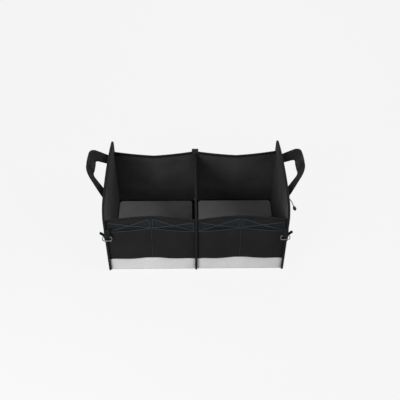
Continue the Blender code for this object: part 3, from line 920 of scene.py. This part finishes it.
pocket = {
    "columns": 96,
    "rows": 34,
    "thick": 0.0014,
    "foot": 0.0575,
    "top": 0.196,
    "belly": 0.013,
    "levels": (0.0, 0.02, 0.08, 0.24, 0.5, 0.75, 1.0),
    "fullness": (0.0, 0.75, 0.95, 1.0, 0.92, 0.75, 0.6),
    "cordRadius": 0.00125,
    "wave": 0.0016,
    "waveScales": (22, 55),
    "calmSeam": 0.16,
    "calmFoot": 0.10,
    "calmMouth": 0.16,
    # folds in one pocket: start and end as shares across and up, then depth and width in metres
    "folds": (
        (0.06, 0.90, 0.42, 0.46, 0.0034, 0.011),
        (0.93, 0.88, 0.62, 0.50, 0.0030, 0.012),
        (0.10, 0.06, 0.34, 0.30, -0.0026, 0.010),
        (0.90, 0.04, 0.60, 0.26, 0.0026, 0.012),
        (0.30, 0.98, 0.36, 0.70, -0.0018, 0.007),
        (0.70, 0.98, 0.66, 0.74, -0.0018, 0.007),
    ),
    "foldFade": 0.6,
    "hemShare": 0.94,
    "hemRise": 0.0005,
    "sewnShares": (0.05, 0.945),
    "seamHalf": 0.0035,
}
pocketEndGap = tapeStand + seamGap
pocketRest = wallFace + bowGap + pocket["thick"] / 2
mouthHeight = pocket["top"] + seamGap + pocket["cordRadius"]


def pocketFullness(share):
    levels, fullness = pocket["levels"], pocket["fullness"]
    for i in range(len(levels) - 1):
        if share <= levels[i + 1]:
            part = (share - levels[i]) / (levels[i + 1] - levels[i])
            return fullness[i] + (fullness[i + 1] - fullness[i]) * part
    return fullness[-1]


def foldDepth(s, t, flip):
    total = 0.0
    wide = box["width"] / 4
    tall = pocket["top"] - pocket["foot"]
    for s0, t0, s1, t1, depth, width in pocket["folds"]:
        if flip:
            s0, s1 = 1 - s0, 1 - s1
        a, b = Vector((s0 * wide, t0 * tall)), Vector((s1 * wide, t1 * tall))
        here = Vector((s * wide, t * tall))
        along = min(max((here - a).dot(b - a) / (b - a).length_squared, 0.0), 1.0)
        off = (here - a.lerp(b, along)).length
        total += depth * exp(-(off / width) ** 2) * (1 - pocket["foldFade"] * along)
    return total


def pocketPoint(sign, u, share, calm=False):
    z = pocket["foot"] + (pocket["top"] - pocket["foot"]) * share
    if share > 1:
        z = mouthHeight
    x = bayX(sign, u, z, pocketEndGap, pocketEndGap)
    s = (2 * u) % 1.0
    belly = pocket["belly"] * pocketFullness(share) * sin(pi * s)
    out = pocketRest + belly
    if not calm:
        quiet = ease(min(s, 1 - s), pocket["calmSeam"]) * ease(share, pocket["calmFoot"])
        quiet *= ease(1 - share, pocket["calmMouth"])
        slow, fine = pocket["waveScales"]
        wave = ripple(x, z, slow, 2 * sign) + 0.5 * ripple(x, z, fine, sign)
        out += quiet * (foldDepth(s, share, u > 0.5) + pocket["wave"] * wave)
        hem = ease(share - pocket["hemShare"], 0.02) * ease(min(s, 1 - s), 0.05)
        out += pocket["hemRise"] * hem
    return Vector((x, frontY(x, z, max(out, pocketRest)), z))


def makePockets():
    columns, rows = pocket["columns"], pocket["rows"]
    lift = pocket["thick"] / 2
    for title, side, sign in sides:
        def place(u, v):
            return pocketPoint(sign, u, v ** 1.5)

        wide = pathLength([place(k / columns, 0.6) for k in range(columns + 1)])
        tall = pathLength([place(0.25, k / rows) for k in range(rows + 1)])
        obj = showCloth(f"pocketPanel{title}", "pocketCloth", f"pocket_panel_{side}",
                        pocket["thick"], columns, rows, place, (wide, tall))
        edge = [pocketPoint(sign, k / columns, 1.01, True) for k in range(columns + 1)]
        showCord(f"mouthCord{title}", "elasticBraid", f"mouth_cord_{side}", edge,
                 pocket["cordRadius"])
        lines = []
        for share in pocket["sewnShares"]:
            lines.append(frontRow([pocketPoint(sign, k / 120, share) for k in range(2, 119)], lift))
        for step in (-pocket["seamHalf"], pocket["seamHalf"]):
            u = 0.5 + step / halfWidth
            lines.append(frontRow([pocketPoint(sign, u, 0.04 + 0.9 * k / 23) for k in range(24)],
                                  lift))
        sewnPiece(f"pocketStitch{title}", lines, "blackThread")


makePockets()
print("pockets made")

lacing = {
    "inset": 0.006,
    "corner": 0.004,
    "crossing": 0.0032,
    "meshThick": 0.0003,
    "meshFoot": 0.010,
    "meshTall": 0.055,
    "pipingRadius": 0.0010,
    "pipingStart": 0.002,
    "pipingPoints": 40,
    "hump": 0.0008,
    "humpWide": 0.006,
    "sink": 0.0014,
    "sinkStart": 0.004,
    "sinkFade": 0.010,
}


def makeLacing():
    radius = pocket["cordRadius"]
    low = pocket["top"] + 2 * seamGap + 3 * radius
    high = box["frontHeight"] - wall["hemDepth"] - seamGap - radius
    stand = wallFace + bowGap + radius

    def onFront(sign, u, z, outward, inset=0.0):
        x = bayX(sign, u, z, pocketEndGap, pocketEndGap) + sign * inset
        return Vector((x, frontY(x, z, outward), z))

    for title, side, sign in sides:
        for index, part in ((0, "inner"), (1, "outer")):
            near, far = index / 2, (index + 1) / 2
            aLow, aHigh = (onFront(sign, near, z, stand, lacing["inset"]) for z in (low, high))
            bLow, bHigh = (onFront(sign, far, z, stand, -lacing["inset"]) for z in (low, high))
            middle = (aHigh + bLow) / 2 - Vector((0, lacing["crossing"], 0))
            cuts = [lacing["corner"] * factor for factor in (1, 1, 1, 4, 1)]
            route = roundedPath((aLow, bHigh, bLow, middle, aHigh), cuts, 8, closed=True)
            showCord(f"lace{part.capitalize()}{title}", "elasticBraid",
                     f"pocket_lace_{part}_{side}", route, radius, closed=True)

        def meshPlace(u, v):
            foot = pocket["top"] - lacing["meshFoot"]
            return onFront(sign, u, foot + (high + radius - foot) * v, wallFace + bowGap / 2)

        flat = (halfWidth, lacing["meshTall"])
        obj = showCloth(f"mouthMesh{title}", "meshCloth", None, lacing["meshThick"], 60, 8,
                        meshPlace, flat, levels=0)
        wrap = lacing["pipingRadius"]
        start = pocket["foot"] + lacing["pipingStart"]
        count = lacing["pipingPoints"]
        route = []
        for k in range(count):
            z = start + (high - start) * k / (count - 1)
            hump = exp(-((z - mouthHeight) / lacing["humpWide"]) ** 2) * lacing["hump"]
            past = ease(z - mouthHeight - lacing["sinkStart"], lacing["sinkFade"])
            out = pocketRest + pocket["thick"] / 2 + wrap + 0.0001 + hump - lacing["sink"] * past
            route.append(onFront(sign, 0.5, z, out))
        showCord(f"seamPiping{title}", "greyThread", None, route, wrap, around=8)


makeLacing()
print("lacing made")


# webbing handles, sewn to the sides and bent out, with a sleeve on each grip

handle = {
    "width": 0.050,
    "thick": 0.0024,
    "sewn": 0.085,
    "foldHeight": 0.275,
    "foldLength": 0.025,
    "rise": radians(47.5),
    "turn": radians(12.0),
    "reach": 0.100,
    "place": 0.014,
    "foot": 0.122,
    "gripHalf": 0.0625,
    "footCorner": 0.025,
    "gripCorner": 0.028,
    "points": 150,
    "edgeRise": 0.0003,
    "edgeShare": 0.06,
    "sleeveThick": 0.0012,
    "sleeveHalf": 0.024,
    "sleevePuff": 0.0002,
    "sleevePoints": 24,
    "sleevePowers": (0.35, 0.7),
    "sleeveRows": (-0.66, -0.22, 0.22, 0.66),
    "rowShare": 0.94,
    "rowLift": 0.0005,
    "sewnIn": 0.0045,
    "patchEnds": (0.006, 0.012),
}


def strapPoint(sign, run, y, lift):
    start = pi / 2 - box["lean"]
    rate = (start - handle["rise"]) / handle["foldLength"]
    bent = min(max(run, 0.0), handle["foldLength"])
    angle = start - rate * bent
    x = sideFace(handle["foldHeight"], False) + (sin(start) - sin(angle)) / rate
    z = handle["foldHeight"] + (cos(angle) - cos(start)) / rate
    straight = run - bent
    x += straight * cos(angle) + lift * sin(angle)
    z += straight * sin(angle) - lift * cos(angle)
    return Vector((sign * x, y, z))


def turnedStrap(sign, middle, across, off, high):
    # a place beside the strap's middle line, turned about that line on the way to the grip
    turn = handle["turn"] * ease(middle.y, handle["reach"])
    place = middle + across * (off * cos(turn) - high * sin(turn))
    lift = seamGap + handle["thick"] / 2 + off * sin(turn) + high * cos(turn)
    return strapPoint(sign, place.y, handle["place"] + place.x, lift)


def squaredRing(count, powers):
    # a flat oval between a circle and a rectangle, as shares of its half width and thickness
    made = []
    for k in range(count):
        turn = tau * k / count
        made.append([copysign(abs(part) ** power, part)
                     for part, power in zip((cos(turn), sin(turn)), powers)])
    return made


def makeHandles():
    foot, grip, reach = handle["foot"], handle["gripHalf"], handle["reach"]
    corners = ((-foot, -handle["sewn"]), (-foot, 0.0), (-grip, reach), (grip, reach), (foot, 0.0),
               (foot, -handle["sewn"]))
    cuts = (0, handle["footCorner"], handle["gripCorner"], handle["gripCorner"],
            handle["footCorner"], 0)
    middle = evenPath(roundedPath(corners, cuts, 16), handle["points"])
    last = len(middle) - 1
    across = []
    for i in range(last + 1):
        run = (middle[min(i + 1, last)] - middle[max(i - 1, 0)]).normalized()
        across.append(Vector((run.y, -run.x)))
    count = handle["sleevePoints"]
    ring = squaredRing(count, handle["sleevePowers"])
    down = Vector((0, -1))
    halfWide = handle["width"] / 2 + handle["sleeveThick"] / 2
    halfThick = handle["thick"] / 2 + seamGap + handle["sleeveThick"] / 2
    outer = handle["thick"] / 2 + handle["sleeveThick"] + handle["rowLift"]
    half = handle["width"] / 2 - handle["sewnIn"]
    low, high = -handle["sewn"] + handle["patchEnds"][0], -handle["patchEnds"][1]
    for title, side, sign in sides:
        def strap(u, v):
            i = round(u * last)
            rise = exp(-((0.5 - abs(v - 0.5)) / handle["edgeShare"]) ** 2)
            return turnedStrap(sign, middle[i], across[i], handle["width"] * (v - 0.5),
                               handle["edgeRise"] * rise)

        def sleeve(u, v):
            wide, thick = ring[round(v * count) % count]
            puff = handle["sleevePuff"] * ease(min(u, 1 - u), 0.2)
            place = Vector((handle["sleeveHalf"] * (2 * u - 1), reach))
            return turnedStrap(sign, place, down, wide * halfWide, thick * (halfThick + puff))

        def seam(place, aside, off, height):
            here = turnedStrap(sign, place, aside, off, height)
            return here, (here - turnedStrap(sign, place, aside, off, 0.0)).normalized()

        showCloth(f"handleStrap{title}", "strapWebbing", f"handle_strap_{side}", handle["thick"],
                  last, 16, strap, (pathLength(middle), handle["width"]))
        showCloth(f"gripSleeve{title}", "sleeveWebbing", f"grip_sleeve_{side}",
                  handle["sleeveThick"], 24, count, sleeve,
                  (2 * handle["sleeveHalf"], 4 * halfWide), closed=True)
        lines = []
        level = handle["thick"] / 2 + 0.0002
        for face in (-1, 1):
            for edge in (-1, 1):
                lines.append([seam(middle[i], across[i], edge * half, face * level)
                              for i in range(1, last)])
        for face in (-1, 1):
            for share in handle["sleeveRows"]:
                steps = [handle["sleeveHalf"] * (k / 6 - 1) * handle["rowShare"] for k in range(13)]
                lines.append([seam(Vector((step, reach)), down, share * halfWide, face * outer)
                              for step in steps])
        for y in (-foot, foot):
            for a, b in (((-half, low), (half, low)), ((-half, high), (half, high)),
                         ((-half, low), (half, high)), ((half, low), (-half, high))):
                steps = [Vector(a).lerp(Vector(b), k / 8) for k in range(9)]
                lines.append([seam(Vector((y, run)), Vector((1, 0)), off, level)
                              for off, run in steps])
        sewnPiece(f"handleStitch{title}", [list(zip(*line)) for line in lines], "greyThread")


makeHandles()
print("handles made")


# wire rings in webbing loops, tabs at the front corners, and the tab behind the divider

ringSet = {
    "place": 0.338,
    "width": 0.035,
    "height": 0.018,
    "corner": 0.007,
    "wire": 0.0017,
    "pivotHeight": 0.190,
    "tilt": radians(8.0),
    "loopWidth": 0.021,
    "play": 0.0006,
    "loopRise": 0.036,
    "pairShare": 0.55,
    "loopFlat": 0.09,
    "sewnShares": (0.62, 0.92),
    "sewnHalf": 0.4,
}
tabSet = {"width": 0.020, "tipWidth": 0.014, "sewn": 0.016, "free": 0.032, "height": 0.174,
          "turn": radians(62.0), "overhang": 0.1}
rearTab = {"width": 0.028, "drop": 0.024, "rise": 0.003, "reach": 0.016, "overlap": 0.004,
           "cuts": (0, 0.004, 0.008, 0.007, 0), "points": 40}


def loopProfile(front):
    # webbing round the ring's bar, then both layers up together, seen from the side
    thick = box["loopThick"]
    radius = ringSet["wire"] + ringSet["play"] + thick / 2
    pivotY, pivotZ = -(front + radius + thick / 2), ringSet["pivotHeight"]
    halfPair = (thick + seamGap) / 2
    neck = sqrt(radius ** 2 - halfPair ** 2)
    opening = degrees(acos(halfPair / radius))
    closing = 2 * (90 - opening) + opening - 360
    bar = arc((pivotY, pivotZ), radius, radius, opening, closing, 24)
    sewnY = -(front + thick / 2 + halfPair)
    upper = ((sewnY, pivotZ + ringSet["loopRise"]),
             (sewnY, pivotZ + ringSet["loopRise"] * ringSet["pairShare"]),
             (pivotY, pivotZ + neck + thick))
    profile = [(y + halfPair, z) for y, z in upper] + bar
    return profile + [(y - halfPair, z) for y, z in reversed(upper)], pivotY, sewnY - halfPair


def makeRings():
    thick = box["loopThick"]
    profile, pivotY, sewnY = loopProfile(finHalf + tapeStand + seamGap)
    pivotZ = ringSet["pivotHeight"]
    last = len(profile) - 1
    half = ringSet["width"] / 2
    frameCorners = ((-half, 0), (half, 0), (half, ringSet["height"]), (-half, ringSet["height"]))
    hang = Matrix.Rotation(-ringSet["tilt"], 4, "X")
    for title, side, sign in sides:
        middle = Vector((sign * ringSet["place"], pivotY, pivotZ))

        def loop(u, v):
            y, z = profile[round(u * last)]
            return Vector((middle.x + ringSet["loopWidth"] * (v - 0.5), y, z))

        def tab(u, v):
            along = u * (tabSet["sewn"] + tabSet["free"])
            sewn = min(along, tabSet["sewn"])
            free = along - sewn
            slope = pi / 2 - box["lean"] - tabSet["turn"] * free / tabSet["free"] / 2
            foot = tabSet["height"] - tabSet["sewn"] + sewn
            x = sideFace(foot, False) + tapeStand + seamGap + thick / 2
            x += free * cos(slope)
            wide = tabSet["width"] + (tabSet["tipWidth"] - tabSet["width"]) * free / tabSet["free"]
            y = -finHalf - tabSet["width"] * tabSet["overhang"] + wide * v
            return Vector((sign * x, y, foot + free * sin(slope)))

        showCloth(f"ringLoop{title}", "strapWebbing", f"ring_loop_{side}", thick, last, 10, loop,
                  (ringSet["loopFlat"], ringSet["loopWidth"]))
        corners = [middle + hang @ Vector((x, 0, -drop)) for x, drop in frameCorners]
        route = roundedPath(corners, [ringSet["corner"]] * 4, 10, closed=True)
        showCord(f"cornerRing{title}", "ringMetal", f"corner_ring_{side}", route, ringSet["wire"],
                 around=14, closed=True, body=f"ring_{side}")
        showCloth(f"cornerTab{title}", "strapWebbing", f"corner_tab_{side}", thick, 24, 10, tab,
                  (tabSet["sewn"] + tabSet["free"], tabSet["width"]))
        reach = ringSet["loopWidth"] * ringSet["sewnHalf"]
        lines = []
        for share in ringSet["sewnShares"]:
            z = pivotZ + ringSet["loopRise"] * share
            lines.append(frontRow([Vector((middle.x + x, sewnY, z)) for x in (-reach, reach)],
                                  thick / 2))
        sewnPiece(f"loopStitch{title}", lines, "greyThread")


def makeRearTab():
    thick = box["loopThick"]
    level = box["rearHeight"] + tapeStand + seamGap + thick / 2
    back = finHalf + tapeStand + seamGap + thick / 2
    reach, rise = rearTab["reach"], rearTab["rise"]
    corners = ((back - 2 * reach - rearTab["overlap"], level), (back - 2 * reach, level),
               (back - reach, level + rise), (back, level + rise * 0.9),
               (back, level - rearTab["drop"]))
    profile = evenPath(roundedPath(corners, rearTab["cuts"], 8), rearTab["points"])
    last = len(profile) - 1

    def place(u, v):
        y, z = profile[round(u * last)]
        return Vector((rearTab["width"] * (v - 0.5), y, z))

    showCloth("rearTab", "strapWebbing", "divider_rear_tab", thick, last, 12, place,
              (pathLength(profile), rearTab["width"]))


makeRings()
makeRearTab()
print("rings and tabs made")


# pale floor and soft studio light

studio = {
    "pale": (0.913, 0.913, 0.913, 1.0),
    "ambient": 0.16,
    "worldShown": 0.972,
    "floorSize": 60.0,
    "floorTone": (0.80, 0.80, 0.80, 1.0),
    "floorShown": 1.035,
    "floorGlow": 0.93,
    "lamps": (
        # name, place, aim, size, power
        ("keyLamp", (-0.9, -1.5, 1.0), (0.0, 0.0, 0.10), 0.9, 19.0),
        ("sideLamp", (1.7, -0.9, 2.3), (0.0, 0.2, 0.15), 1.5, 28.0),
        ("topLamp", (0.0, 0.1, 2.4), (0.0, 0.0, 0.10), 1.2, 1.5),
        ("backLamp", (0.3, 2.6, 1.9), (0.0, 0.0, 0.12), 1.8, 20.0),
    ),
}


def mixedShader(tree, share, first, second, output):
    mix = addNode(tree, "MixShader", {0: share, 1: first.outputs[0], 2: second.outputs[0]})
    addNode(tree, output, {"Surface": mix.outputs[0]})


def makeStage():
    world = bpy.data.worlds.new("studioWorld")
    scene.world = world
    world.use_nodes = True
    tree = world.node_tree
    tree.nodes.clear()
    rays = addNode(tree, "LightPath").outputs
    seen = mathNode(tree, "MAXIMUM", rays["Is Camera Ray"], rays["Is Glossy Ray"])
    seen = mathNode(tree, "MAXIMUM", seen, rays["Is Transmission Ray"])
    plain = addNode(tree, "Background", {"Color": (1, 1, 1, 1), "Strength": studio["ambient"]})
    shown = addNode(tree, "Background", {"Color": studio["pale"], "Strength": studio["worldShown"]})
    mixedShader(tree, seen, plain, shown, "OutputWorld")

    bm = bmesh.new()
    bmesh.ops.create_grid(bm, x_segments=1, y_segments=1, size=studio["floorSize"] / 2)
    mesh = meshFrom(bm, "studioFloor")
    floor = bpy.data.objects.new("studioFloor", mesh)
    scene.collection.objects.link(floor)
    mat = bpy.data.materials.new("studioFloor")
    mat.use_nodes = True
    tree = mat.node_tree
    tree.nodes.clear()
    rays = addNode(tree, "LightPath").outputs
    lit = addNode(tree, "BsdfDiffuse", {"Color": studio["floorTone"]})
    glow = addNode(tree, "Emission", {"Color": studio["pale"], "Strength": studio["floorShown"]})
    share = mathNode(tree, "MULTIPLY", rays["Is Camera Ray"], studio["floorGlow"])
    mixedShader(tree, share, lit, glow, "OutputMaterial")
    mesh.materials.append(mat)

    for name, place, aim, size, power in studio["lamps"]:
        data = bpy.data.lights.new(name, "AREA")
        data.shape = "DISK"
        data.size = size
        data.energy = power
        lamp = bpy.data.objects.new(name, data)
        lamp.location = place
        lamp.rotation_euler = (Vector(aim) - Vector(place)).to_track_quat("-Z", "Y").to_euler()
        scene.collection.objects.link(lamp)


makeStage()
print("stage made")
